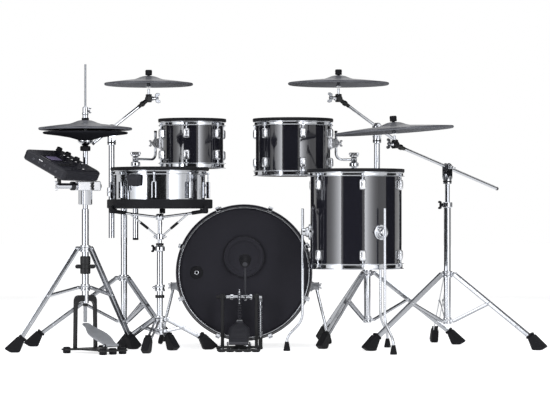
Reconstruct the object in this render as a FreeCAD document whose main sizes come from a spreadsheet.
"""Drum kit with real drum shells, mesh heads, rubber cymbal pads and a sound module.

Millimetres, +Z up.  The player sits on the -Y side and looks along +Y.  The floor is Z = 0.
Every size is a cell of the sheet "sizes".  Formulas in quotes are bound to those cells.
"""
import FreeCAD, Part
import os
import re
import Sketcher
from FreeCAD import Placement, Rotation, Vector

UP = "vector(0; 0; 1)"
ACROSS = "vector(1; 0; 0)"
AWAY = "vector(0; 1; 0)"

SIZES = {
    # middle of the whole set on the floor, which becomes the origin
    "middle_x": 14.1, "middle_y": 88.6,
    # fits shared by all pieces
    "running_gap": 0.05, "loose_gap": 0.3, "rim_gap": 0.5,
    # what all drums share
    "shell_wall": 6, "head_thickness": 2, "head_overhang": 4.5, "rim_rise": 9, "rim_height": 30,
    "lug_width": 20, "lug_depth": 16, "lug_height": 36, "lug_gap": 14, "rod_width": 5,
    # bass drum, lying with its axis along Y
    "bass_x": -123, "bass_y": 50, "bass_floor_gap": 28, "bass_radius": 254, "bass_depth": 360,
    "bass_wall": 8, "bass_rim_wall": 13, "bass_hoop_width": 38, "bass_head_inset": 16,
    "claw_count": 8, "claw_width": 22, "claw_length": 26, "claw_plate": 3.5, "claw_reach": 8,
    "claw_rise": 10, "bass_lug_start": 96, "bass_lug_length": 40,
    "pad_radius": 81, "pad_rise": 63, "pad_proud": 18, "socket_shift": -189, "socket_radius": 26,
    "socket_depth": 3,
    # folding spurs of the bass drum
    "spur_y": 300, "spur_drop": 61, "spur_base": 22, "spur_base_size": 44, "spur_knuckle": 28,
    "spur_knuckle_radius": 17, "spur_rod_radius": 6, "spur_splay": 13.5, "spur_tip_radius": 11,
    "spur_tip_length": 40,
    # snare drum
    "snare_x": -450, "snare_y": -100, "snare_top": 715, "snare_bottom": 554,
    "snare_radius": 178, "snare_rim_wall": 9.5, "snare_lug_count": 8, "snare_lug_turn": -94,
    "snare_lug_depth": 20, "snare_lug_low": 36, "snare_lug_high": 104, "band_radius": 206,
    "band_height": 36, "trigger_turn": -118, "trigger_width": 52,
    "trigger_height": 44, "trigger_depth": 34,
    # the three toms
    "tom_lug_count": 6,
    "small_tom_x": -338, "small_tom_y": 300, "small_tom_top": 921, "small_tom_bottom": 718,
    "small_tom_radius": 127, "small_tom_rim_wall": 7, "small_tom_lug_turn": -98,
    "large_tom_x": 73.5, "large_tom_y": 300, "large_tom_top": 922, "large_tom_bottom": 687,
    "large_tom_radius": 152.4, "large_tom_rim_wall": 7.1, "large_tom_lug_turn": -76,
    "floor_tom_x": 315, "floor_tom_y": -133, "floor_tom_top": 708, "floor_tom_bottom": 320,
    "floor_tom_radius": 177.8, "floor_tom_rim_wall": 6.2, "floor_tom_lug_turn": -84,
    # legs of the floor tom
    "floor_leg_turn": 180, "floor_leg_radius": 5.5, "floor_leg_offset": 30,
    "floor_leg_top": 553, "floor_leg_bend": 118, "floor_leg_reach": 91, "floor_leg_bend_radius": 40,
    "floor_leg_bracket_z": 463, "floor_leg_bracket_radius": 30, "floor_leg_bracket_depth": 44,
    "floor_leg_tip_radius": 14, "floor_leg_tip_length": 42,
    # arms that hold the two small toms
    "tom_rod_radius": 5.5, "tom_ball_radius": 14, "tom_cup_radius": 17, "tom_cup_gap": 22,
    "tom_cup_height": 18, "tom_rod_bend_radius": 26, "tom_ball_z": 755, "tom_bracket_size": 26,
    "tom_bracket_height": 46, "tom_bracket_z": 798, "tom_rod_top": 872, "tom_rod_offset": 23,
    # folding tripods, shared sizes
    "strip_width": 17, "strip_thickness": 2.5, "strip_spacing": 8, "brace_width": 13,
    "leg_hub_radius": 20, "brace_hub_radius": 18, "hub_ear": 20, "foot_width": 30,
    "foot_base": 34, "foot_back": 36, "foot_shoulder": 46, "foot_top_back": 12, "foot_top": 64,
    "foot_toe": 42, "foot_toe_height": 15, "leg_lift": 42, "leg_end": 16,
    # snare stand
    "snare_stand_turn": -102, "snare_stand_leg_z": 122, "snare_stand_brace_z": 76,
    "snare_stand_reach": 194, "snare_stand_joint": 92, "snare_stand_tube_radius": 12,
    "snare_clamp_z": 244,
    "snare_stand_top": 408, "basket_rod_radius": 8,
    "basket_rod_low": 262, "basket_hub_z": 521, "basket_hub_radius": 15,
    "basket_turn": 90, "basket_arm_width": 12, "basket_arm_thickness": 8,
    "basket_brace_reach": 128, "basket_grip_lip": 10,
    # hi-hat stand
    "hihat_x": -730, "hihat_y": -233, "hihat_tube_radius": 13.5, "hihat_upper_radius": 9.5,
    "hihat_tube_top": 552, "hihat_seat_z": 775, "hihat_turn": 51,
    "hihat_leg_z": 400, "hihat_brace_z": 250, "hihat_reach": 270, "hihat_joint": 144,
    "hihat_rod_radius": 3.5, "hihat_rod_top": 1110, "hihat_bore": 5.5, "hihat_seat_radius": 29,
    "clutch_radius": 11, "clutch_height": 50,
    # hi-hat pedal
    "pedal_turn": -49, "yoke_width": 106, "yoke_top": 221, "yoke_depth": 34,
    "yoke_wall": 9, "pedal_floor": 12, "pedal_plate": 6, "pedal_heel": 182, "pedal_heel_width": 74,
    "board_toe": -2, "board_toe_z": 113, "board_hinge": 168, "board_hinge_z": 34,
    "board_thickness": 6, "board_toe_width": 34, "board_width": 74, "hinge_radius": 6,
    "strap_width": 15, "strap_thickness": 5, "pedal_foot_radius": 9,
    # hi-hat pads
    "hihat_top_radius": 180, "hihat_top_z": 856, "hihat_low_radius": 163.5, "hihat_low_z": 849,
    # cymbal pads
    "pad_edge": 9, "pad_bow": 12, "pad_bell": 17, "pad_hole": 9, "post_radius": 5,
    "nut_radius": 14, "nut_height": 22, "sleeve_height": 11,
    # sound module
    "module_x": -801, "module_y": -350, "module_z": 736, "module_turn": 60, "module_slope": 25.6,
    "module_width": 238, "module_depth": 204, "module_thickness": 40, "module_chamfer": 12,
    "knob_radius": 12, "knob_height": 15, "knob_spacing": 45, "knob_shift": 40,
    "module_knuckle_radius": 13, "module_knuckle_width": 30, "module_arm_z": 640,
    "module_arm_radius": 11, "module_clamp_low": 568,
    "module_clamp_size": 46, "module_clamp_wall": 3, "module_clamp_depth": 44,
    # crash cymbal stands
    "left_x": -610, "left_y": 200, "left_turn": -55, "left_leg_z": 275, "left_brace_z": 101,
    "left_reach": 362, "left_joint": 166, "left_tube_radius": 13, "left_boom_side": -50,
    "left_tom_side": 47, "left_boom_low": 436, "left_boom_top": 878, "left_boom_turn": 18.3,
    "left_boom_tilt": 38.3, "left_boom_reach": 155, "left_boom_tail": 102,
    "left_pad_radius": 180, "left_pad_z": 1055,
    "right_x": 377, "right_y": 313, "right_turn": -1, "right_leg_z": 292, "right_brace_z": 102,
    "right_reach": 362, "right_joint": 166, "right_tube_radius": 14, "right_boom_side": 40,
    "right_tom_side": -54, "right_boom_low": 430, "right_boom_top": 889, "right_boom_turn": 201.5,
    "right_boom_tilt": 33.3, "right_boom_reach": 171, "right_boom_tail": 100,
    "right_pad_radius": 205, "right_pad_z": 1057,
    "crash_clamp_z": 604, "crash_clamp_height": 36, "crash_clamp_depth": 40,
    "crash_tube_radius": 12, "tom_tube_low": 430, "boom_radius": 6.5,
    "boom_knuckle_radius": 17, "boom_knuckle_width": 20, "boom_cheek": 6,
    "boom_cheek_width": 27.2, "boom_collar_radius": 17,
    "boom_collar_height": 30, "tilter_radius": 13, "tilter_width": 26,
    # ride cymbal stand
    "ride_x": 687, "ride_y": 80, "ride_turn": -26, "ride_leg_z": 293, "ride_brace_z": 107,
    "ride_reach": 377, "ride_joint": 178, "ride_tube_radius": 14, "ride_upper_radius": 9.5,
    "ride_tube_top": 580, "ride_upper_low": 420, "ride_boom_top": 719, "ride_boom_turn": 225.1,
    "ride_boom_tilt": 14.9, "ride_boom_reach": 312, "ride_boom_tail": 324,
    "ride_pad_radius": 232.5, "ride_pad_z": 852, "ride_pad_lean": 4,
    # kick pedal
    "kick_x": -140, "kick_y": -20, "kick_axle_z": 206, "kick_axle_radius": 6,
    "kick_post_spread": 134, "kick_post_width": 14, "kick_post_depth": 30, "kick_axle_length": 184,
    "kick_plate_width": 178, "kick_plate_depth": 62, "kick_plate_height": 8,
    "kick_heel_width": 78, "kick_hinge_y": -222, "kick_hinge_z": 34,
    "kick_toe_y": 14, "kick_toe_z": 112, "kick_board_width": 82, "kick_toe_width": 26,
    "kick_board_thickness": 7, "sprocket_radius": 30, "sprocket_width": 14,
    "chain_width": 15, "chain_thickness": 8, "beater_shift": 23, "beater_lean": 28,
    "beater_length": 160, "beater_rod_radius": 4, "beater_radius": 24, "beater_head_length": 44,
    "kick_spring_x": 83, "kick_spring_radius": 9, "kick_spring_top": 200, "kick_spring_low": 47,
    "rocker_thickness": 6,
    # more shared sizes
    "low_rim_height": 22, "hub_height": 26, "collar_height": 22, "tom_barrel_length": 24,
    "tom_tube_radius": 11, "cup_link": 6, "basket_collar_gap": 26, "basket_grip": 14,
    "hihat_lock_low": 302, "hihat_lock_high": 371, "hihat_cup_height": 20,
    "hihat_low_bottom": 818, "hihat_low_edge": 8, "hihat_leg_angle": 129, "yoke_bridge": 31,
    "board_heel_width": 62, "board_heel_share": 0.15, "board_waist_share": 0.45,
    "board_ball_share": 0.6, "board_neck_share": 0.85, "hinge_cheek": 5, "pedal_foot_share": 0.88,
    "clutch_flange": 4,
    "bell_radius": 62, "bell_taper": 0.55, "pad_clearance": 4, "knob_middle": 45,
    "module_arm_offset": 39.5, "module_arm_tail": 43, "module_fork_cheek": 6,
    "boom_fork_height": 36, "ride_bore_low": 400, "jaw_width": 36,
    "jaw_gap": 3, "jaw_reach": 13, "kick_spring_back": 17,
}

doc = FreeCAD.newDocument("drum_kit")
sheet = doc.addObject("Spreadsheet::Sheet", "sizes")
for row, (alias, value) in enumerate(SIZES.items(), 1):
    sheet.set(f"A{row}", alias)
    sheet.set(f"B{row}", str(value))
    sheet.setAlias(f"B{row}", alias)
doc.recompute()

nodes = []


# ---------------------------------------------------------------- helpers

def cells(formula):
    """Point each size name in a formula at its cell of the sheet."""
    return re.sub(r"[a-z]\w*", lambda word: "sizes." + word[0] if word[0] in SIZES else word[0],
                  formula)


def size(alias):
    """The sheet's value of one size, for the shapes that Part's own functions make."""
    return float(sheet.get(alias))


def place(piece, x, y, z, *turns):
    """Stand a piece at a point of the layout after turns about axes, the last one first."""
    rotation = " * ".join(f"rotation({axis}; {angle})" for axis, angle in turns)
    rotation = rotation or f"rotation({UP}; 0)"
    spot = f"vector({x} - middle_x; {y} - middle_y; {z})"
    piece.setExpression("Placement", cells(f"placement({spot}; {rotation})"))
    return piece


def keep(piece, node):
    """Name a finished sub-part; the label is also its file's name."""
    piece.Label = node
    nodes.append(piece)


def join(node, *pieces):
    """Fuse the pieces of a sub-part that reach into each other."""
    whole = doc.addObject("Part::MultiFuse", node)
    whole.Shapes = pieces
    return whole


def group(node, *pieces):
    """Hold the separate solids of a sub-part together."""
    whole = doc.addObject("Part::Compound", node)
    whole.Links = pieces
    return whole


def cut(base, tool):
    result = doc.addObject("Part::Cut", "cut")
    result.Base = base
    result.Tool = tool
    return result


def cylinder(radius, length):
    piece = doc.addObject("Part::Cylinder", "cylinder")
    piece.setExpression("Radius", cells(radius))
    piece.setExpression("Height", cells(length))
    return piece


def new_body(name):
    return doc.addObject("PartDesign::Body", name)


def origin(body, role):
    return next(item for item in body.Origin.OriginFeatures if item.Role == role)


def draw(body, plane, outlines, shift=None):
    """Sketch closed outlines of straight edges; each corner is a pair of formulas."""
    sketch = body.newObject("Sketcher::SketchObject", "outline")
    sketch.AttachmentSupport = [(origin(body, plane), "")]
    sketch.MapMode = "FlatFace"
    if shift:
        sketch.setExpression("AttachmentOffset.Base.z", cells(shift))
    for corners in outlines:
        first = sketch.GeometryCount
        count = len(corners)
        ring = [Rotation(Vector(0, 0, 1), 360 * i / count).multVec(Vector(1, 0, 0))
                for i in range(count)]
        for i in range(count):
            sketch.addGeometry(Part.LineSegment(ring[i], ring[(i + 1) % count]))
        for i in range(count):
            following = first + (i + 1) % count
            sketch.addConstraint(Sketcher.Constraint("Coincident", first + i, 2, following, 1))
            for direction, formula in zip("XY", corners[i]):
                number = sketch.addConstraint(
                    Sketcher.Constraint("Distance" + direction, -1, 1, first + i, 1, 1.0))
                sketch.setExpression(f"Constraints[{number}]", cells(formula))
    return sketch


def turn(body, *outlines):
    """Revolve (radius, height) outlines about the body's Z axis."""
    profile = draw(body, "XZ_Plane", outlines)
    feature = body.newObject("PartDesign::Revolution", "turned")
    feature.Profile = profile
    feature.ReferenceAxis = (profile, ["V_Axis"])
    body.Tip = feature
    return feature


def pad(body, plane, thickness, *outlines, shift=None):
    """Pad outlines to both sides of a plane of the body, which may be shifted."""
    feature = body.newObject("PartDesign::Pad", "pad")
    feature.Profile = draw(body, plane, outlines, shift)
    feature.Midplane = True
    feature.setExpression("Length", cells(thickness))
    body.Tip = feature
    return feature


def repeat(body, features, count, angle="360"):
    """Copy features round the body's Z axis."""
    pattern = body.newObject("PartDesign::PolarPattern", "pattern")
    pattern.Originals = features
    pattern.Axis = (origin(body, "Z_Axis"), [""])
    pattern.setExpression("Angle", cells(angle))
    pattern.setExpression("Occurrences", cells(count))
    body.Tip = pattern
    return pattern


def box(left, right, low, high):
    """Corners of an upright rectangle."""
    return [(left, low), (right, low), (right, high), (left, high)]


def strip(start, end, width):
    """Corners of a straight strip between two points, square at both ends."""
    run = f"(({end[0]}) - ({start[0]}))"
    climb = f"(({end[1]}) - ({start[1]}))"
    half = f"({width}) / 2 / sqrt({run}^2 + {climb}^2)"
    return [(f"{point[0]} + {side} * {climb} * {half}", f"{point[1]} - {side} * {run} * {half}")
            for point, side in ((start, 1), (end, 1), (end, -1), (start, -1))]


def stack(low, *steps, bore="0"):
    """Outline of a turned column: steps of (radius, height of the step's top) above low."""
    corners = [(bore, low)]
    floor = low
    for radius, ceiling in steps:
        corners += [(radius, floor), (radius, ceiling)]
        floor = ceiling
    return corners + [(bore, floor)]


def bent_rod(points, radius, bend):
    """A round rod through points, with an arc at each inner point."""
    edges = []
    start = points[0]
    for corner, following in zip(points[1:], points[2:]):
        before = (start - corner).normalize()
        after = (following - corner).normalize()
        inward = (before + after).normalize()
        rise = before.cross(inward).Length
        centre = corner + inward * (bend / rise)
        arc_start = corner + before * (bend * before.dot(inward) / rise)
        arc_end = corner + after * (bend * before.dot(inward) / rise)
        edges.append(Part.makeLine(start, arc_start))
        edges.append(Part.Arc(arc_start, centre - inward * bend, arc_end).toShape())
        start = arc_end
    edges.append(Part.makeLine(start, points[-1]))
    circle = Part.Wire(Part.makeCircle(radius, points[0], points[1] - points[0]))
    piece = doc.addObject("Part::Feature", "bent_rod")
    piece.Shape = Part.Wire(edges).makePipeShell([circle], True, False)
    return piece


def rim_inner(drum):
    """Inner radius of a drum's rim or hoop, which clears the edge of the head."""
    return f"({drum}_radius + head_overhang + rim_gap)"


def rim_outer(drum):
    """Outer radius of a drum's rim or hoop."""
    return f"({drum}_radius + head_overhang + rim_gap + {drum}_rim_wall)"


# ---------------------------------------------------------------- bass drum

BASS_Z = f"({rim_outer('bass')} + bass_floor_gap)"


def lay_bass(body):
    """The bass drum's bodies are turned about Z and then laid along +Y."""
    return place(body, "bass_x", "bass_y", BASS_Z, (ACROSS, "-90"))


def bass_shell():
    body = new_body("bass_shell")
    edge = "bass_head_inset + head_thickness"
    turn(body, box("bass_radius - bass_wall", "bass_radius", edge, f"bass_depth - ({edge})"))
    keep(lay_bass(body), "bass_shell")


def bass_hoops():
    body = new_body("bass_hoops")
    inner, outer = rim_inner("bass"), rim_outer("bass")
    turn(body, box(inner, outer, "0", "bass_hoop_width"),
         box(inner, outer, "bass_depth - bass_hoop_width", "bass_depth"))
    keep(lay_bass(body), "bass_hoops")


def bass_heads():
    """Two heads, the kick pad on the batter head, and the plate of the output socket."""
    body = new_body("heads")
    inset = "bass_head_inset"
    far = "bass_depth - bass_head_inset"
    edge = "bass_radius + head_overhang"
    turn(body, box("0", edge, inset, f"{inset} + head_thickness"),
         box("0", edge, f"{far} - head_thickness", far))
    kick_pad = cylinder("pad_radius", "pad_proud")
    place(kick_pad, "bass_x", f"bass_y + {inset} - pad_proud", f"{BASS_Z} + pad_rise", (ACROSS, "-90"))
    plate = cylinder("socket_radius", "socket_depth")
    place(plate, "bass_x + socket_shift", f"bass_y + {inset} - socket_depth", BASS_Z,
          (ACROSS, "-90"))
    keep(group("bass_heads", lay_bass(body), kick_pad, plate), "bass_heads")


def bass_hardware():
    """Claws over both hoops, their tension rods and lugs, and the seats of the two spurs."""
    body = new_body("claws")
    rim = rim_outer("bass")
    crown = f"{rim} + claw_rise"
    middle = f"{rim} + claw_rise / 2"
    ends = []
    for face, inward in (("0", "1"), ("bass_depth", "-1")):
        def along(distance):
            return f"{face} + {inward} * ({distance})"
        claw = [(f"{rim} - claw_reach", along("-claw_plate")), (crown, along("-claw_plate")),
                (crown, along("claw_length")), (rim, along("claw_length")),
                (rim, along("0")), (f"{rim} - claw_reach", along("0"))]
        lug = box("bass_radius", crown, along("bass_lug_start"),
                  along("bass_lug_start + bass_lug_length"))
        ends.append(pad(body, "XZ_Plane", "claw_width", claw, lug))
        tension_rod = box(f"{middle} - rod_width / 2", f"{middle} + rod_width / 2",
                          along("claw_length"), along("bass_lug_start"))
        ends.append(pad(body, "XZ_Plane", "rod_width", tension_rod))
    repeat(body, ends, "claw_count")
    place(body, "bass_x", "bass_y", BASS_Z, (ACROSS, "-90"), (UP, "180 / claw_count"))
    seats = []
    for side in (-1, 1):
        seat = doc.addObject("Part::Box", "spur_seat")
        seat.setExpression("Length", cells("bass_radius / 4 + spur_base"))
        seat.setExpression("Width", cells("spur_base_size"))
        seat.setExpression("Height", cells("spur_base_size"))
        inner = "bass_radius * 3 / 4" if side > 0 else "-bass_radius - spur_base"
        place(seat, f"bass_x + {inner}", "spur_y - spur_base_size / 2",
              f"{BASS_Z} - spur_drop - spur_base_size / 2")
        drum = cylinder("bass_radius", "bass_depth")
        seats.append(cut(seat, place(drum, "bass_x", "bass_y", BASS_Z, (ACROSS, "-90"))))
    keep(group("bass_hardware", body, *seats), "bass_hardware")


def bass_spur(node, side):
    """A folding spur: a knuckle that turns on its seat, a rod and a rubber tip on the floor."""
    pivot_z = f"({BASS_Z} - spur_drop)"
    face = f"bass_x + {side} * (bass_radius + spur_base)"
    knuckle = cylinder("spur_knuckle_radius", "spur_knuckle")
    place(knuckle, face, "spur_y", pivot_z, (AWAY, f"{side * 90}"))
    start = f"{face} + {side} * spur_knuckle / 2"
    reach = f"({pivot_z} - spur_tip_radius * sin(spur_splay)) / cos(spur_splay)"
    leg = cylinder("spur_rod_radius", reach)
    place(leg, start, "spur_y", pivot_z, (AWAY, f"{side} * (180 - spur_splay)"))
    tip = cylinder("spur_tip_radius", "spur_tip_length")
    along = f"({reach} - spur_tip_length)"
    place(tip, f"{start} + {side} * {along} * sin(spur_splay)", "spur_y",
          f"{pivot_z} - {along} * cos(spur_splay)", (AWAY, f"{side} * (180 - spur_splay)"))
    keep(join(node, knuckle, leg, tip), node)


# ---------------------------------------------------------------- snare drum and toms

def drum_head(drum):
    """The mesh head: a disc on the shell's top edge, inside the rim."""
    body = new_body(f"{drum}_head")
    top = f"{drum}_top - rim_rise"
    turn(body, box("0", f"{drum}_radius + head_overhang", f"{top} - head_thickness", top))
    keep(place(body, f"{drum}_x", f"{drum}_y", "0"), f"{drum}_head")


def drum_rim(drum):
    body = new_body(f"{drum}_rim")
    turn(body, box(rim_inner(drum), rim_outer(drum), f"{drum}_top - rim_height", f"{drum}_top"))
    keep(place(body, f"{drum}_x", f"{drum}_y", "0"), f"{drum}_rim")


def rod_line(drum):
    """Radius at which a drum's tension rods stand, under the middle of its rim."""
    return f"(({rim_inner(drum)} + {rim_outer(drum)}) / 2)"


def tension_rod(drum, low, high):
    line = rod_line(drum)
    return box(f"{line} - rod_width / 2", f"{line} + rod_width / 2", low, high)


def snare():
    body = new_body("snare_shell")
    edge = "snare_top - rim_rise - head_thickness"
    turn(body, box("snare_radius - shell_wall", "snare_radius", "snare_bottom", edge))
    keep(place(body, "snare_x", "snare_y", "0"), "snare_shell")
    drum_head("snare")
    drum_rim("snare")
    hardware = new_body("snare_lugs")
    under_rim = "snare_top - rim_height"
    low = "snare_bottom + snare_lug_low"
    high = "snare_bottom + snare_lug_high"
    lug = pad(hardware, "XZ_Plane", "lug_width",
              box("snare_radius", "snare_radius + snare_lug_depth", low, high))
    line = pad(hardware, "XZ_Plane", "rod_width", tension_rod("snare", high, under_rim))
    repeat(hardware, [lug, line], "snare_lug_count")
    place(hardware, "snare_x", "snare_y", "0", (UP, "snare_lug_turn"))
    trigger = new_body("trigger_box")
    face = "snare_radius + rim_gap"
    pad(trigger, "XZ_Plane", "trigger_width",
        [(face, f"{under_rim} - trigger_height"),
         (f"{face} + trigger_depth * 2 / 3", f"{under_rim} - trigger_height"),
         (f"{face} + trigger_depth", f"{under_rim} - trigger_height / 3"),
         (f"{face} + trigger_depth", under_rim), (face, under_rim)])
    place(trigger, "snare_x", "snare_y", "0", (UP, "trigger_turn"))
    keep(group("snare_hardware", hardware, trigger), "snare_hardware")
    band = new_body("snare_base_ring")
    turn(band, box("snare_radius + rim_gap", "band_radius", "snare_bottom",
                   "snare_bottom + band_height"))
    keep(place(band, "snare_x", "snare_y", "0"), "snare_base_ring")


def tom_shell(drum):
    """A shell with its lower rim."""
    body = new_body(f"{drum}_shell")
    bottom = f"{drum}_bottom"
    step = f"{drum}_bottom + low_rim_height"
    turn(body, [(f"{drum}_radius - shell_wall", bottom), (rim_outer(drum), bottom),
                (rim_outer(drum), step), (f"{drum}_radius", step),
                (f"{drum}_radius", f"{drum}_top - rim_rise - head_thickness"),
                (f"{drum}_radius - shell_wall", f"{drum}_top - rim_rise - head_thickness")])
    keep(place(body, f"{drum}_x", f"{drum}_y", "0"), f"{drum}_shell")


def tom_lugs(drum):
    """Pairs of lugs below the upper rim and above the lower one, with their tension rods."""
    body = new_body("lugs")
    upper = f"({drum}_top - rim_height)"
    lower = f"({drum}_bottom + low_rim_height)"
    reach = f"{drum}_radius + lug_depth"
    lugs = pad(body, "XZ_Plane", "lug_width",
               box(f"{drum}_radius", reach, f"{upper} - lug_gap - lug_height", f"{upper} - lug_gap"),
               box(f"{drum}_radius", reach, f"{lower} + lug_gap", f"{lower} + lug_gap + lug_height"))
    rods = pad(body, "XZ_Plane", "rod_width", tension_rod(drum, f"{upper} - lug_gap", upper),
               tension_rod(drum, lower, f"{lower} + lug_gap"))
    repeat(body, [lugs, rods], "tom_lug_count")
    return place(body, f"{drum}_x", f"{drum}_y", "0", (UP, f"{drum}_lug_turn"))


def hung_tom(drum, side, stand, tube):
    """A tom that hangs on an L-shaped rod from a barrel clamp on a cymbal stand's second tube."""
    tom_shell(drum)
    drum_head(drum)
    drum_rim(drum)
    keep(tom_lugs(drum), f"{drum}_lugs")
    block = doc.addObject("Part::Box", "bracket_block")
    block.setExpression("Length", cells("tom_rod_offset + tom_bracket_size / 2"))
    block.setExpression("Width", cells("tom_bracket_size"))
    block.setExpression("Height", cells("tom_bracket_height"))
    inner = f"{drum}_radius" if side > 0 else f"-{drum}_radius - tom_rod_offset - tom_bracket_size / 2"
    place(block, f"{drum}_x + {inner}", f"{drum}_y - tom_bracket_size / 2", "tom_bracket_z")
    middle = Vector(size("middle_x"), size("middle_y"), 0)
    rod_x = size(f"{drum}_x") + side * (size(f"{drum}_radius") + size("tom_rod_offset"))
    ball = Vector(size(f"{stand}_x") + size(tube), size(f"{stand}_y"), size("tom_ball_z"))
    top = Vector(rod_x, size(f"{drum}_y"), size("tom_rod_top"))
    corner = Vector(rod_x, size(f"{drum}_y"), size("tom_ball_z"))
    rod = bent_rod([top - middle, corner - middle, ball - middle], size("tom_rod_radius"),
                   size("tom_rod_bend_radius"))
    barrel = cylinder("tom_ball_radius", "tom_barrel_length")
    place(barrel, f"{stand}_x + {tube} - tom_barrel_length / 2", f"{stand}_y", "tom_ball_z",
          (AWAY, "90"))
    keep(join(f"{drum}_arm", block, rod, barrel), f"{drum}_arm")


def floor_tom():
    drum = "floor_tom"
    tom_shell(drum)
    drum_head(drum)
    drum_rim(drum)
    brackets = []
    for number in range(3):
        heading = f"(floor_leg_turn + {120 * number})"
        bracket = cylinder("floor_leg_bracket_radius", "floor_leg_bracket_depth")
        place(bracket, f"{drum}_x + {drum}_radius * cos{heading}",
              f"{drum}_y + {drum}_radius * sin{heading}", "floor_leg_bracket_z",
              (UP, heading), (AWAY, "90"))
        hole = cylinder("floor_leg_radius + running_gap", "3 * floor_leg_bracket_radius")
        line = f"({drum}_radius + floor_leg_offset)"
        place(hole, f"{drum}_x + {line} * cos{heading}", f"{drum}_y + {line} * sin{heading}",
              "floor_leg_bracket_z - 1.5 * floor_leg_bracket_radius")
        brackets.append(cut(bracket, hole))
    keep(group("floor_tom_lugs", tom_lugs(drum), *brackets), "floor_tom_lugs")
    legs = []
    for number in range(3):
        heading = size("floor_leg_turn") + 120 * number
        outward = Rotation(Vector(0, 0, 1), heading).multVec(Vector(1, 0, 0))
        axis = Vector(size("floor_tom_x") - size("middle_x"), size("floor_tom_y") - size("middle_y"), 0)
        line = outward * (size("floor_tom_radius") + size("floor_leg_offset"))
        foot = outward * (size("floor_tom_radius") + size("floor_leg_reach"))
        tip_z = Vector(0, 0, size("floor_leg_tip_radius"))
        points = [axis + line + Vector(0, 0, size("floor_leg_top")),
                  axis + line + Vector(0, 0, size("floor_leg_bend")), axis + foot + tip_z]
        rod = bent_rod(points, size("floor_leg_radius"), size("floor_leg_bend_radius"))
        tip = cylinder("floor_leg_tip_radius", "floor_leg_tip_length")
        spot = f"({drum}_radius + floor_leg_reach)"
        heading = f"(floor_leg_turn + {120 * number})"
        place(tip, f"{drum}_x + {spot} * cos{heading}", f"{drum}_y + {spot} * sin{heading}", "0")
        legs.append(join("floor_tom_leg", rod, tip))
    keep(group("floor_tom_legs", *legs), "floor_tom_legs")


# ---------------------------------------------------------------- stands

def rubber_foot(name):
    """Side view of the boot at a leg's end: it leans along the leg and is cut off flat below."""
    base = "foot_base / 2"
    reach = f"{name}_reach"
    return [(f"{reach} - {base}", "0"), (f"{reach} + {base}", "0"),
            (f"{reach} + foot_toe", "foot_toe_height"), (f"{reach} - foot_top_back", "foot_top"),
            (f"{reach} - foot_back", "foot_shoulder")]


def leg_line(name):
    """Where a leg starts at the upper hub, where it ends in its foot, and its brace's rivet."""
    hub = ("(leg_hub_radius + hub_ear / 2)", f"{name}_leg_z")
    foot = (f"({name}_reach - leg_end)", "leg_lift")
    climb = f"({name}_joint - {hub[0]}) / ({foot[0]} - {hub[0]})"
    joint = (f"{name}_joint", f"{name}_leg_z + {climb} * (leg_lift - {name}_leg_z)")
    return hub, foot, joint


def tripod(name, column, legs="3", angle="360", spot=None):
    """A column on legs of two steel strips, held apart by braces, with rubber feet."""
    body = new_body(f"{name}_legs")
    turn(body, column)
    hub, foot, joint = leg_line(name)
    low_hub = ("brace_hub_radius + hub_ear / 2", f"{name}_brace_z")
    inner = "(strip_spacing - strip_thickness)"
    parts = []
    for side in ("", "-"):
        parts.append(pad(body, "XZ_Plane", "strip_thickness", strip(hub, foot, "strip_width"),
                         shift=f"{side}strip_spacing"))
        parts.append(pad(body, "XZ_Plane", "strip_thickness", strip(low_hub, joint, "brace_width"),
                         shift=f"{side}{inner}"))
    for centre, width, spacing in ((hub, "strip_width", "strip_spacing"),
                                   (low_hub, "brace_width", inner)):
        parts.append(pad(body, "XZ_Plane", f"2 * {spacing} - strip_thickness",
                         box(f"{name}_tube_radius", f"{centre[0]} + {width} / 2",
                             f"{centre[1]} - {width} / 2", f"{centre[1]} + {width} / 2")))
    parts.append(pad(body, "XZ_Plane", "foot_width", rubber_foot(name)))
    repeat(body, parts, legs, angle)
    spot = spot or name
    return place(body, f"{spot}_x", f"{spot}_y", "0", (UP, f"{name}_turn"))


def hub_steps(name, top):
    """A column's low hub, tube and upper leg collar."""
    tube = f"{name}_tube_radius"
    return [("brace_hub_radius", f"{name}_brace_z + hub_height / 2"),
            (tube, f"{name}_leg_z - hub_height / 2"),
            ("leg_hub_radius", f"{name}_leg_z + hub_height / 2"), (tube, top)]


def snare_stand():
    """The lower half of the snare stand: an open tube with two clamps, on a low tripod."""
    name = "snare_stand"
    column = stack("snare_stand_brace_z - hub_height / 2",
                   *hub_steps(name, "snare_clamp_z - hub_height / 2"),
                   ("leg_hub_radius", "snare_clamp_z + hub_height / 2"),
                   ("snare_stand_tube_radius", "snare_stand_top - collar_height"),
                   ("leg_hub_radius", "snare_stand_top"), bore="basket_rod_radius + running_gap")
    keep(tripod(name, column, spot="snare"), "snare_stand")


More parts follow.
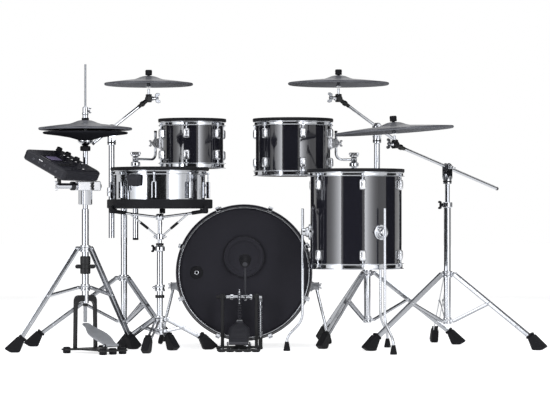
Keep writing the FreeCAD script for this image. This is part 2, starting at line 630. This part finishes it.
def snare_basket():
    """The rod that slides in the stand, its hub, and three braced arms under the drum."""
    body = new_body("snare_basket")
    hub = "basket_hub_z"
    collar = "(snare_stand_top + basket_collar_gap)"
    turn(body, stack("basket_rod_low", ("basket_rod_radius", "snare_stand_top"),
                     ("basket_hub_radius", "snare_stand_top + collar_height / 2"),
                     ("basket_rod_radius", collar), ("basket_hub_radius", f"{collar} + collar_height"),
                     ("basket_rod_radius", f"{hub} - collar_height / 2"),
                     ("basket_hub_radius", f"{hub} + collar_height / 2")))
    tip = ("band_radius", "snare_bottom - basket_arm_width")
    root = ("basket_rod_radius", hub)
    joint_z = f"{hub} + ({tip[1]} - {hub}) * basket_brace_reach / band_radius"
    arm = pad(body, "XZ_Plane", "basket_arm_thickness", strip(root, tip, "basket_arm_width"))
    brace = pad(body, "XZ_Plane", "basket_arm_thickness / 2",
                strip(("basket_rod_radius", f"{collar} + collar_height / 2"),
                      ("basket_brace_reach", joint_z), "basket_arm_width * 2 / 3"))
    lip = "band_radius + loose_gap"
    grip = pad(body, "XZ_Plane", "lug_width",
               [("band_radius - basket_grip", "snare_bottom - basket_grip"),
                (f"{lip} + basket_grip_lip", "snare_bottom - basket_grip"),
                (f"{lip} + basket_grip_lip", "snare_bottom + basket_grip_lip"),
                (lip, "snare_bottom + basket_grip_lip"), (lip, "snare_bottom"),
                ("band_radius - basket_grip", "snare_bottom")])
    repeat(body, [arm, brace, grip], "3")
    keep(place(body, "snare_x", "snare_y", "0", (UP, "basket_turn")), "snare_basket")


def hihat_stand():
    """A two-legged stand: an open column for the pull rod, with the lower pad's seat on top."""
    seat = "hihat_seat_z"
    column = stack("yoke_top - yoke_bridge", ("hihat_tube_radius", "hihat_brace_z - hub_height / 2"),
                   ("brace_hub_radius", "hihat_brace_z + hub_height / 2"),
                   ("hihat_tube_radius", "hihat_lock_low"), ("leg_hub_radius", "hihat_lock_high"),
                   ("hihat_tube_radius", "hihat_leg_z - hub_height / 2"),
                   ("leg_hub_radius", "hihat_leg_z + hub_height / 2"),
                   ("hihat_tube_radius", "hihat_tube_top"), ("hihat_upper_radius", seat),
                   ("leg_hub_radius", f"{seat} + hihat_cup_height"),
                   ("hihat_seat_radius", "hihat_low_bottom"),
                   ("pad_hole - loose_gap", "hihat_low_bottom + hihat_low_edge"), bore="hihat_bore")
    keep(tripod("hihat", column, "2", "hihat_leg_angle"), "hihat_stand")


def hihat_base():
    """The arch that carries the column, the floor plate with its feet, and the heel block."""
    body = new_body("arch")
    outer = "yoke_width / 2"
    inner = "(yoke_width / 2 - yoke_wall)"
    stand_on = "pedal_floor + pedal_plate"
    pad(body, "YZ_Plane", "yoke_depth",
        [(f"-{outer}", stand_on), (f"-{inner}", stand_on),
         (f"-{inner}", "yoke_top - yoke_bridge"), (inner, "yoke_top - yoke_bridge"),
         (inner, stand_on), (outer, stand_on), (outer, "yoke_top - yoke_wall"),
         (f"{outer} - yoke_wall", "yoke_top"), (f"-{outer} + yoke_wall", "yoke_top"),
         (f"-{outer}", "yoke_top - yoke_wall")])
    plate = new_body("pedal_plate")
    pad(plate, "XY_Plane", "pedal_plate",
                [("-yoke_depth / 2", f"-{outer}"), ("pedal_heel", "-pedal_heel_width / 2"),
                 ("pedal_heel", "pedal_heel_width / 2"), ("-yoke_depth / 2", outer)],
                shift="pedal_floor + pedal_plate / 2")
    for side in ("", "-"):
        cheek = "(board_heel_width / 2 + hinge_cheek / 2)"
        pad(plate, "XZ_Plane", "hinge_cheek",
            box("board_hinge - hinge_radius", "board_hinge + hinge_radius", "pedal_floor",
                "board_hinge_z + hinge_radius"), shift=f"{side}{cheek}")
    place(body, "hihat_x", "hihat_y", "0", (UP, "pedal_turn"))
    place(plate, "hihat_x", "hihat_y", "0", (UP, "pedal_turn"))
    hole = cylinder("hihat_tube_radius", "yoke_top")
    arch = cut(body, place(hole, "hihat_x", "hihat_y", "yoke_top - yoke_bridge"))
    feet = []
    for along, across in (("0", outer), ("0", f"-{outer}"), ("pedal_heel", "pedal_heel_width / 2"),
                          ("pedal_heel", "-pedal_heel_width / 2")):
        run = f"({along} - pedal_foot_radius * 2)" if along != "0" else "0"
        reach = f"({across}) * pedal_foot_share"
        foot = cylinder("pedal_foot_radius", "pedal_floor")
        place(foot, f"hihat_x + {run} * cos(pedal_turn) - {reach} * sin(pedal_turn)",
              f"hihat_y + {run} * sin(pedal_turn) + {reach} * cos(pedal_turn)", "0")
        feet.append(foot)
    keep(group("hihat_base", arch, plate, *feet), "hihat_base")


def polygon(sides, radius, along="0", across="0"):
    """Corners of a regular polygon."""
    angles = [360 * corner / sides for corner in range(sides)]
    return [(f"{along} + {radius} * cos({angle})", f"{across} + {radius} * sin({angle})")
            for angle in angles]


def footboard(node, length, toe_width, width, heel_width, thickness):
    """A pedal plate in its own plane, with the barrel of its heel hinge at the origin."""
    body = new_body(node)
    half = [("0", heel_width), (f"{length} * board_heel_share", heel_width),
            (f"{length} * board_waist_share", width), (f"{length} * board_ball_share", width),
            (f"{length} * board_neck_share", toe_width), (length, toe_width)]
    pad(body, "XY_Plane", thickness, [(along, f"-{wide} / 2") for along, wide in half]
        + [(along, f"{wide} / 2") for along, wide in reversed(half)])
    pad(body, "XZ_Plane", heel_width, polygon(6, "hinge_radius"))
    return body


def hihat_footboard():
    run = "(board_hinge - board_toe)"
    rise = "(board_toe_z - board_hinge_z)"
    body = footboard("hihat_footboard", f"sqrt({run}^2 + {rise}^2)", "board_toe_width",
                     "board_width", "board_heel_width", "board_thickness")
    place(body, "hihat_x + board_hinge * cos(pedal_turn)", "hihat_y + board_hinge * sin(pedal_turn)",
          "board_hinge_z", (UP, "pedal_turn + 180"), (AWAY, f"-atan({rise} / {run})"))
    keep(body, "hihat_footboard")


def hihat_rod():
    """The pull rod with its strap to the footboard and the clutch that grips the upper pad."""
    body = new_body("hihat_rod")
    strap_top = "(yoke_top - yoke_bridge - loose_gap)"
    under = "hihat_top_z"
    over = "hihat_top_z + pad_edge + pad_bow + pad_bell"
    turn(body, stack(f"{strap_top} - strap_thickness",
                     ("hihat_rod_radius", f"{under} - clutch_flange"), ("nut_radius", under),
                     ("pad_hole", over), ("clutch_radius", f"{over} + clutch_height"),
                     ("hihat_rod_radius", "hihat_rod_top")))
    pad(body, "XZ_Plane", "strap_width",
        box("-strap_thickness / 2", "strap_thickness / 2",
            "board_toe_z + board_thickness / 2 + loose_gap", strap_top))
    keep(place(body, "hihat_x", "hihat_y", "0", (UP, "pedal_turn")), "hihat_rod")


def pad_outline(radius):
    """Half section of a rubber cymbal pad: flat below, a low bow and a bell above."""
    crown = "pad_edge + pad_bow"
    top = "pad_edge + pad_bow + pad_bell"
    return [("pad_hole", "0"), (radius, "0"), (radius, "pad_edge"), ("bell_radius", crown),
            ("bell_radius * bell_taper", top), ("pad_hole", top)]


def hihat_pads():
    body = new_body("hihat_top_pad")
    turn(body, pad_outline("hihat_top_radius"))
    keep(place(body, "hihat_x", "hihat_y", "hihat_top_z"), "hihat_top_pad")
    body = new_body("hihat_bottom_pad")
    low = "hihat_low_bottom"
    edge = "hihat_low_edge"
    turn(body, [("pad_hole", low), ("hihat_seat_radius", low),
                ("hihat_low_radius", f"hihat_low_z - {edge}"), ("hihat_low_radius", "hihat_low_z"),
                ("hihat_seat_radius", f"{low} + {edge}"), ("pad_hole", f"{low} + {edge}")])
    keep(place(body, "hihat_x", "hihat_y", "0"), "hihat_bottom_pad")


# ---------------------------------------------------------------- sound module

DEEP = "(module_thickness + module_knuckle_radius)"
MOUNT_X = f"(module_x - {DEEP} * sin(module_turn) * sin(module_slope))"
MOUNT_Y = f"(module_y + {DEEP} * cos(module_turn) * sin(module_slope))"
MOUNT_Z = f"(module_z - {DEEP} * cos(module_slope))"


def module_case():
    """A slab with bevelled long edges, three knobs, and the barrel that it tilts on."""
    case = new_body("case")
    deep = "module_depth / 2"
    bevel = "module_chamfer"
    pad(case, "YZ_Plane", "module_width",
        [(f"-{deep}", f"-{bevel}"), (f"-{deep} + {bevel} / 2", "0"), (f"{deep} - {bevel} / 2", "0"),
         (deep, f"-{bevel}"), (deep, f"{bevel} - module_thickness"),
         (f"{deep} - {bevel}", "-module_thickness"), (f"-{deep} + {bevel}", "-module_thickness"),
         (f"-{deep}", f"{bevel} - module_thickness")])
    barrel_z = "-module_thickness - module_knuckle_radius"
    half = "module_knuckle_width / 2"
    pad(case, "XZ_Plane", "module_knuckle_radius",
        box(f"-{half}", half, barrel_z, "-module_thickness"))
    tilted = ((UP, "module_turn"), (ACROSS, "module_slope"))
    place(case, "module_x", "module_y", "module_z", *tilted)
    barrel = cylinder("module_knuckle_radius", "module_knuckle_width")
    place(barrel, f"{MOUNT_X} - {half} * cos(module_turn)", f"{MOUNT_Y} - {half} * sin(module_turn)",
          MOUNT_Z, *tilted, (AWAY, "90"))
    knobs = new_body("knobs")
    for number in (-1, 0, 1):
        knob = polygon(10, "knob_radius", "module_width / 2 - knob_shift",
                       f"knob_middle + {number} * knob_spacing")
        pad(knobs, "XY_Plane", "knob_height", knob, shift="knob_height / 2")
    place(knobs, "module_x", "module_y", "module_z", *tilted)
    keep(group("module_case", join("housing", case, barrel), knobs), "module_case")


SPAN = f"sqrt(({MOUNT_X} - hihat_x)^2 + ({MOUNT_Y} - hihat_y)^2)"
ARM_TURN = f"(atan2({MOUNT_Y} - hihat_y; {MOUNT_X} - hihat_x) - asin(module_arm_offset / {SPAN}))"


def module_arm():
    """A clamp on the hi-hat column, a bar beside it, and the fork under the module."""
    clamp = new_body("module_clamp")
    sleeve = "(module_arm_radius + module_clamp_wall)"
    depth = "module_clamp_depth / 2"
    pad(clamp, "YZ_Plane", "module_clamp_size",
        [(f"-{depth}", "module_clamp_low"), (depth, "module_clamp_low"),
         (depth, f"module_arm_z - {sleeve}"),
         (f"module_arm_offset + {sleeve}", f"module_arm_z - {sleeve}"),
         (f"module_arm_offset + {sleeve}", f"module_arm_z + {sleeve}"),
         (f"-{depth}", f"module_arm_z + {sleeve}")])
    place(clamp, "hihat_x", "hihat_y", "0", (UP, ARM_TURN))
    hole = cylinder("hihat_upper_radius", "module_arm_z")
    place(hole, "hihat_x", "hihat_y", "hihat_tube_top")
    reach = f"sqrt({SPAN}^2 - module_arm_offset^2)"
    bar = cylinder("module_arm_radius", f"{reach} + module_arm_tail + module_arm_radius")
    place(bar, f"hihat_x - module_arm_tail * cos({ARM_TURN}) - module_arm_offset * sin({ARM_TURN})",
          f"hihat_y - module_arm_tail * sin({ARM_TURN}) + module_arm_offset * cos({ARM_TURN})",
          "module_arm_z", (UP, ARM_TURN), (AWAY, "90"))
    fork = new_body("module_fork")
    half = "module_knuckle_width / 2"
    cheek = "(module_knuckle_width / 2 + module_fork_cheek)"
    floor = f"{MOUNT_Z} - module_knuckle_radius - loose_gap"
    top = f"{MOUNT_Z} + module_knuckle_radius / 3"
    pad(fork, "XZ_Plane", "module_knuckle_radius",
        [(f"-{cheek}", f"{floor} - module_fork_cheek"), (cheek, f"{floor} - module_fork_cheek"),
         (cheek, top), (half, top), (half, floor), (f"-{half}", floor), (f"-{half}", top),
         (f"-{cheek}", top)])
    place(fork, MOUNT_X, MOUNT_Y, "0", (UP, "module_turn"))
    post = cylinder("module_arm_radius - module_fork_cheek / 2", f"{floor} - module_arm_z")
    place(post, MOUNT_X, MOUNT_Y, "module_arm_z")
    keep(join("module_arm", cut(clamp, hole), bar, fork, post), "module_arm")


# ---------------------------------------------------------------- crash stands

def crash_stand(name, rod_side):
    """A tripod whose clamp carries two more tubes: one slides with the boom, one holds a tom."""
    column = stack(f"{name}_brace_z - hub_height / 2",
                   *hub_steps(name, "crash_clamp_z + crash_clamp_height"))
    legs = tripod(name, column)
    clamp = doc.addObject("Part::Box", "tube_clamp")
    left = f"{name}_boom_side" if name == "left" else f"{name}_tom_side"
    margin = "(crash_clamp_depth / 2)"
    clamp.setExpression("Length", cells(f"abs({name}_boom_side - {name}_tom_side) + 2 * {margin}"))
    clamp.setExpression("Width", cells("crash_clamp_depth"))
    clamp.setExpression("Height", cells("crash_clamp_height"))
    place(clamp, f"{name}_x + {left} - {margin}", f"{name}_y - {margin}", "crash_clamp_z")
    hole = cylinder("crash_tube_radius + running_gap", "3 * crash_clamp_height")
    place(hole, f"{name}_x + {name}_boom_side", f"{name}_y", "crash_clamp_z - crash_clamp_height")
    tube_x = f"{name}_x + {name}_tom_side"
    gap = "tom_cup_gap / 2"
    tube = cylinder("tom_tube_radius", f"tom_ball_z - {gap} - tom_cup_height - tom_tube_low")
    place(tube, tube_x, f"{name}_y", "tom_tube_low")
    lower = cylinder("tom_cup_radius", "tom_cup_height")
    place(lower, tube_x, f"{name}_y", f"tom_ball_z - {gap} - tom_cup_height")
    upper = cylinder("tom_cup_radius", "tom_cup_height")
    place(upper, tube_x, f"{name}_y", f"tom_ball_z + {gap}")
    link = new_body("cup_link")
    near = "(tom_ball_radius + 3 * loose_gap)"
    pad(link, "YZ_Plane", "tom_cup_radius",
        box(near, "tom_cup_radius + cup_link", f"tom_ball_z - {gap} - tom_cup_height / 2",
            f"tom_ball_z + {gap} + tom_cup_height"))
    place(link, tube_x, f"{name}_y", "0", (UP, "180" if rod_side > 0 else "0"))
    groove = cylinder("tom_ball_radius + loose_gap", "4 * tom_cup_radius")
    place(groove, f"{tube_x} - 2 * tom_cup_radius", f"{name}_y", "tom_ball_z", (AWAY, "90"))
    clamped = cut(join("cups", lower, upper, link), groove)
    keep(join(f"{name}_stand", legs, cut(clamp, hole), tube, clamped), f"{name}_stand")


def boom_fork(node, x, y, radius, low, pivot, heading):
    """A tube that slides in its stand, with a collar and the two cheeks of the boom's hinge."""
    body = new_body("tube")
    collar = f"{pivot} - boom_fork_height"
    turn(body, stack(low, (radius, f"{collar} - boom_collar_height"),
                     ("boom_collar_radius", collar)))
    wide = "boom_cheek_width / 2"
    outline = [(f"-{wide}", f"{collar} - boom_collar_height / 2"),
               (wide, f"{collar} - boom_collar_height / 2"), (wide, f"{pivot} + boom_cheek"),
               ("boom_cheek", f"{pivot} + {wide}"), ("-boom_cheek", f"{pivot} + {wide}"),
               (f"-{wide}", f"{pivot} + boom_cheek")]
    for side in ("", "-"):
        pad(body, "XZ_Plane", "boom_cheek", outline,
            shift=f"{side}(boom_knuckle_width + boom_cheek) / 2")
    keep(place(body, x, y, "0", (UP, heading)), node)


def boom_arm(node, name, x, y, lean="0"):
    """A boom with its hinge knuckle, its tilter, and the post that carries the cymbal pad."""
    pivot = f"{name}_boom_top"
    heading = f"{name}_boom_turn"
    tilt = f"{name}_boom_tilt"
    reach = f"{name}_boom_reach"
    length = f"({reach} / cos({tilt}) + {name}_boom_tail)"
    arm = cylinder("boom_radius", length)
    tail = f"{name}_boom_tail * cos({tilt})"
    place(arm, f"{x} - {tail} * cos({heading})", f"{y} - {tail} * sin({heading})",
          f"{pivot} - {name}_boom_tail * sin({tilt})", (UP, heading), (AWAY, f"90 - {tilt}"))
    knuckle = cylinder("boom_knuckle_radius", "boom_knuckle_width")
    half = "boom_knuckle_width / 2"
    place(knuckle, f"{x} + {half} * sin({heading})", f"{y} - {half} * cos({heading})", pivot,
          (UP, heading), (ACROSS, "-90"))
    end_x = f"{x} + {reach} * cos({heading})"
    end_y = f"{y} + {reach} * sin({heading})"
    end_z = f"({pivot} + {reach} * tan({tilt}))"
    tilter = cylinder("tilter_radius", "tilter_width")
    wide = "tilter_width / 2"
    place(tilter, f"{end_x} + {wide} * sin({heading})", f"{end_y} - {wide} * cos({heading})", end_z,
          (UP, heading), (ACROSS, "-90"))
    post = new_body("cymbal_post")
    pad_low = f"({name}_pad_z - {end_z})"
    centre = f"({pad_low} + (pad_edge + pad_bow + pad_bell) / 2)"
    over = f"{pad_low} + pad_edge + pad_bow + pad_bell + pad_clearance"
    turn(post, [("0", "0"), ("post_radius", "0"), ("post_radius", f"{pad_low} - 3 * pad_clearance"),
                ("nut_radius", f"{pad_low} - 3 * pad_clearance"),
                ("nut_radius", f"{pad_low} - pad_clearance"),
                ("post_radius", f"{pad_low} - pad_clearance"),
                ("post_radius", f"{centre} - sleeve_height"),
                ("pad_hole - loose_gap", centre), ("post_radius", f"{centre} + sleeve_height"),
                ("post_radius", over), ("nut_radius", over), ("nut_radius", f"{over} + nut_height"),
                ("0", f"{over} + nut_height")])
    place(post, end_x, end_y, end_z, (AWAY, f"-({lean})"))
    keep(join(node, arm, knuckle, tilter, post), node)
    cymbal = new_body("cymbal")
    turn(cymbal, pad_outline(f"{name}_pad_radius"))
    rise = f"({name}_pad_z - {end_z})"
    place(cymbal, f"{end_x} - {rise} * sin({lean})", end_y, f"{end_z} + {rise} * cos({lean})",
          (AWAY, f"-({lean})"))
    keep(cymbal, f"{name}_cymbal" if name == "ride" else f"{name}_crash")


# ---------------------------------------------------------------- ride stand

def ride_stand():
    """The column, the sliding collar, and each leg and brace as a piece of its own."""
    name = "ride"
    column = new_body("ride_column")
    bore = "ride_upper_radius + running_gap"
    turn(column, [("0", "ride_brace_z - hub_height / 2"),
                  ("brace_hub_radius", "ride_brace_z - hub_height / 2"),
                  ("brace_hub_radius", "ride_brace_z + hub_height / 2"),
                  ("ride_tube_radius", "ride_brace_z + hub_height / 2"),
                  ("ride_tube_radius", "ride_tube_top - collar_height"),
                  ("leg_hub_radius", "ride_tube_top - collar_height"),
                  ("leg_hub_radius", "ride_tube_top"), (bore, "ride_tube_top"),
                  (bore, "ride_bore_low"), ("0", "ride_bore_low")])
    inner = "(2 * (strip_spacing - strip_thickness) - strip_thickness)"
    low_hub = ("(brace_hub_radius + hub_ear / 2)", "ride_brace_z")
    ear = pad(column, "XZ_Plane", inner,
              box("ride_tube_radius", f"{low_hub[0]} + brace_width / 2",
                  "ride_brace_z - brace_width / 2", "ride_brace_z + brace_width / 2"))
    repeat(column, [ear], "3")
    keep(place(column, "ride_x", "ride_y", "0", (UP, "ride_turn")), "ride_column")
    collar = new_body("ride_leg_collar")
    hub, foot, joint = leg_line(name)
    turn(collar, box("ride_tube_radius + running_gap", "leg_hub_radius",
                     "ride_leg_z - hub_height / 2", "ride_leg_z + hub_height / 2"))
    ear = pad(collar, "XZ_Plane", "2 * strip_spacing - strip_thickness",
              box("(ride_tube_radius + leg_hub_radius) / 2", f"{hub[0]} + strip_width / 2",
                  "ride_leg_z - strip_width / 2", "ride_leg_z + strip_width / 2"))
    repeat(collar, [ear], "3")
    keep(place(collar, "ride_x", "ride_y", "0", (UP, "ride_turn")), "ride_leg_collar")
    for number in range(3):
        heading = f"ride_turn + {120 * number}"
        leg = new_body("leg")
        pad(leg, "XZ_Plane", "foot_width", rubber_foot(name))
        for side in ("", "-"):
            pad(leg, "XZ_Plane", "strip_thickness", strip(hub, foot, "strip_width"),
                shift=f"{side}strip_spacing")
        keep(place(leg, "ride_x", "ride_y", "0", (UP, heading)), f"ride_leg_{number + 1}")
        brace = new_body("brace")
        for side in ("", "-"):
            pad(brace, "XZ_Plane", "strip_thickness", strip(low_hub, joint, "brace_width"),
                shift=f"{side}(strip_spacing - strip_thickness)")
        keep(place(brace, "ride_x", "ride_y", "0", (UP, heading)), f"ride_brace_{number + 1}")


# ---------------------------------------------------------------- kick pedal

KICK_RUN = "(kick_toe_y - kick_hinge_y)"
KICK_RISE = "(kick_toe_z - kick_hinge_z)"


def kick_base():
    """Floor plate, two posts for the axle, the heel block, the spring's anchor, the hoop jaw."""
    body = new_body("kick_plate")
    height = "kick_plate_height"
    half = "kick_plate_width / 2"
    narrow = "(kick_heel_width / 2 + hinge_cheek)"
    rear = "kick_plate_depth / 2"
    heel = "kick_hinge_y - kick_y - 2 * hinge_radius"
    pad(body, "XY_Plane", height,
        [(f"-{narrow}", heel), (narrow, heel), (narrow, f"-{rear}"), (half, f"-{rear}"),
         (half, rear), (f"-{half}", rear), (f"-{half}", f"-{rear}"), (f"-{narrow}", f"-{rear}")],
        shift=f"{height} / 2")
    for side in ("", "-"):
        middle = f"{side}kick_post_spread / 2"
        pad(body, "YZ_Plane", "kick_post_width",
            [("-kick_post_depth", height), ("kick_post_depth", height),
             ("kick_post_depth / 2", "kick_axle_z + kick_post_width"),
             ("-kick_post_depth / 2", "kick_axle_z + kick_post_width")], shift=middle)
        cheek = "(kick_heel_width / 2 + hinge_cheek / 2)"
        pad(body, "YZ_Plane", "hinge_cheek",
            box("kick_hinge_y - kick_y - hinge_radius", "kick_hinge_y - kick_y + hinge_radius",
                height, "kick_hinge_z + hinge_radius"), shift=f"{side}{cheek}")
    hoop_low = "bass_floor_gap"
    hoop_front = "bass_y - kick_y"
    jaw = f"{hoop_low} + bass_rim_wall + jaw_gap"
    pad(body, "YZ_Plane", "jaw_width",
        [(f"{rear} - {height}", "0"), (f"{hoop_front} + jaw_reach", "0"),
         (f"{hoop_front} + jaw_reach", f"{hoop_low} - loose_gap"),
         (f"{hoop_front} - jaw_gap", f"{hoop_low} - loose_gap"), (f"{hoop_front} - jaw_gap", jaw),
         (f"{hoop_front} + jaw_reach", jaw), (f"{hoop_front} + jaw_reach", f"{jaw} + {height}"),
         (f"{hoop_front} - jaw_gap - {height}", f"{jaw} + {height}"),
         (f"{rear} - {height}", height)])
    pad(body, "XZ_Plane", "2 * kick_spring_radius",
        box("kick_spring_x - kick_spring_radius", "kick_spring_x + kick_spring_radius", "0",
            "kick_spring_low"), shift="kick_spring_back")
    place(body, "kick_x", "kick_y", "0")
    hole = cylinder("kick_axle_radius + running_gap", "2 * kick_axle_length")
    place(hole, "kick_x - kick_axle_length", "kick_y", "kick_axle_z", (AWAY, "90"))
    keep(cut(body, hole), "kick_base")


def kick_footboard():
    body = footboard("kick_footboard", f"sqrt({KICK_RUN}^2 + {KICK_RISE}^2)", "kick_toe_width",
                     "kick_board_width", "kick_heel_width", "kick_board_thickness")
    place(body, "kick_x", "kick_hinge_y", "kick_hinge_z", (UP, "90"),
          (AWAY, f"-atan({KICK_RISE} / {KICK_RUN})"))
    keep(body, "kick_footboard")


def kick_beater():
    """Axle, sprocket, spring rocker, and the beater on its rod."""
    axle = cylinder("kick_axle_radius", "kick_axle_length")
    place(axle, "kick_x + kick_spring_x + kick_spring_radius - kick_axle_length", "kick_y",
          "kick_axle_z", (AWAY, "90"))
    sprocket = cylinder("sprocket_radius", "sprocket_width")
    place(sprocket, "kick_x - sprocket_width / 2", "kick_y", "kick_axle_z", (AWAY, "90"))
    rocker = new_body("rocker")
    pad(rocker, "YZ_Plane", "2 * rocker_thickness",
        box("-kick_spring_back - kick_spring_radius", "kick_axle_radius",
            "kick_spring_top - kick_axle_z", "rocker_thickness"))
    place(rocker, "kick_x + kick_spring_x", "kick_y", "kick_axle_z")
    hub = cylinder("2 * kick_axle_radius", "sprocket_width")
    place(hub, "kick_x + beater_shift - sprocket_width / 2", "kick_y", "kick_axle_z", (AWAY, "90"))
    lean = (ACROSS, "beater_lean")
    rod = cylinder("beater_rod_radius", "beater_length + beater_radius / 2")
    place(rod, "kick_x + beater_shift", "kick_y", "kick_axle_z", lean)
    head = cylinder("beater_radius", "beater_head_length")
    back = "beater_head_length / 2"
    place(head, "kick_x + beater_shift",
          f"kick_y - beater_length * sin(beater_lean) - {back} * cos(beater_lean)",
          f"kick_axle_z + beater_length * cos(beater_lean) - {back} * sin(beater_lean)",
          lean, (ACROSS, "-90"))
    keep(join("kick_beater", axle, sprocket, rocker, hub, rod, head), "kick_beater")


def kick_chain():
    """The straight fall of the drive chain, from the sprocket's edge to the footboard's toe."""
    body = new_body("kick_chain")
    toe_top = "kick_toe_z + kick_board_thickness / 2 + loose_gap"
    near = "sprocket_radius + loose_gap"
    pad(body, "YZ_Plane", "chain_width", box(near, f"{near} + chain_thickness", toe_top, "kick_axle_z"))
    keep(place(body, "kick_x", "kick_y", "0"), "kick_chain")


def kick_spring():
    spring = cylinder("kick_spring_radius", "kick_spring_top - kick_spring_low")
    place(spring, "kick_x + kick_spring_x", "kick_y - kick_spring_back", "kick_spring_low")
    keep(spring, "kick_spring")


# ---------------------------------------------------------------- the whole set

bass_shell()
bass_hoops()
bass_heads()
bass_hardware()
bass_spur("bass_spur_left", -1)
bass_spur("bass_spur_right", 1)
snare()
hung_tom("small_tom", -1, "left", "left_tom_side")
hung_tom("large_tom", 1, "right", "right_tom_side")
floor_tom()
snare_stand()
snare_basket()
hihat_stand()
hihat_base()
hihat_footboard()
hihat_rod()
hihat_pads()
module_case()
module_arm()
crash_stand("left", 1)
crash_stand("right", -1)
for name in ("left", "right"):
    tube_x = f"{name}_x + {name}_boom_side"
    boom_fork(f"{name}_boom_tube", tube_x, f"{name}_y", "crash_tube_radius", f"{name}_boom_low",
              f"{name}_boom_top", f"{name}_boom_turn")
    boom_arm(f"{name}_boom_arm", name, tube_x, f"{name}_y")
ride_stand()
boom_fork("ride_boom_tube", "ride_x", "ride_y", "ride_upper_radius", "ride_upper_low",
          "ride_boom_top", "ride_boom_turn")
boom_arm("ride_boom_arm", "ride", "ride_x", "ride_y", "ride_pad_lean")
kick_base()
kick_footboard()
kick_beater()
kick_chain()
kick_spring()

doc.recompute()
for item in doc.Objects:
    if "Invalid" in item.State or "Error" in item.State:
        raise RuntimeError(f"{item.Name} ({item.Label}) failed: {item.State}")
os.makedirs("parts", exist_ok=True)
for node in nodes:
    shape = node.Shape
    if shape.isNull() or not shape.isValid():
        raise RuntimeError(f"{node.Label} has no valid shape")
for node in nodes:
    node.Shape.exportStep(f"parts/{node.Label}.step")
print(len(nodes), "sub-parts written")
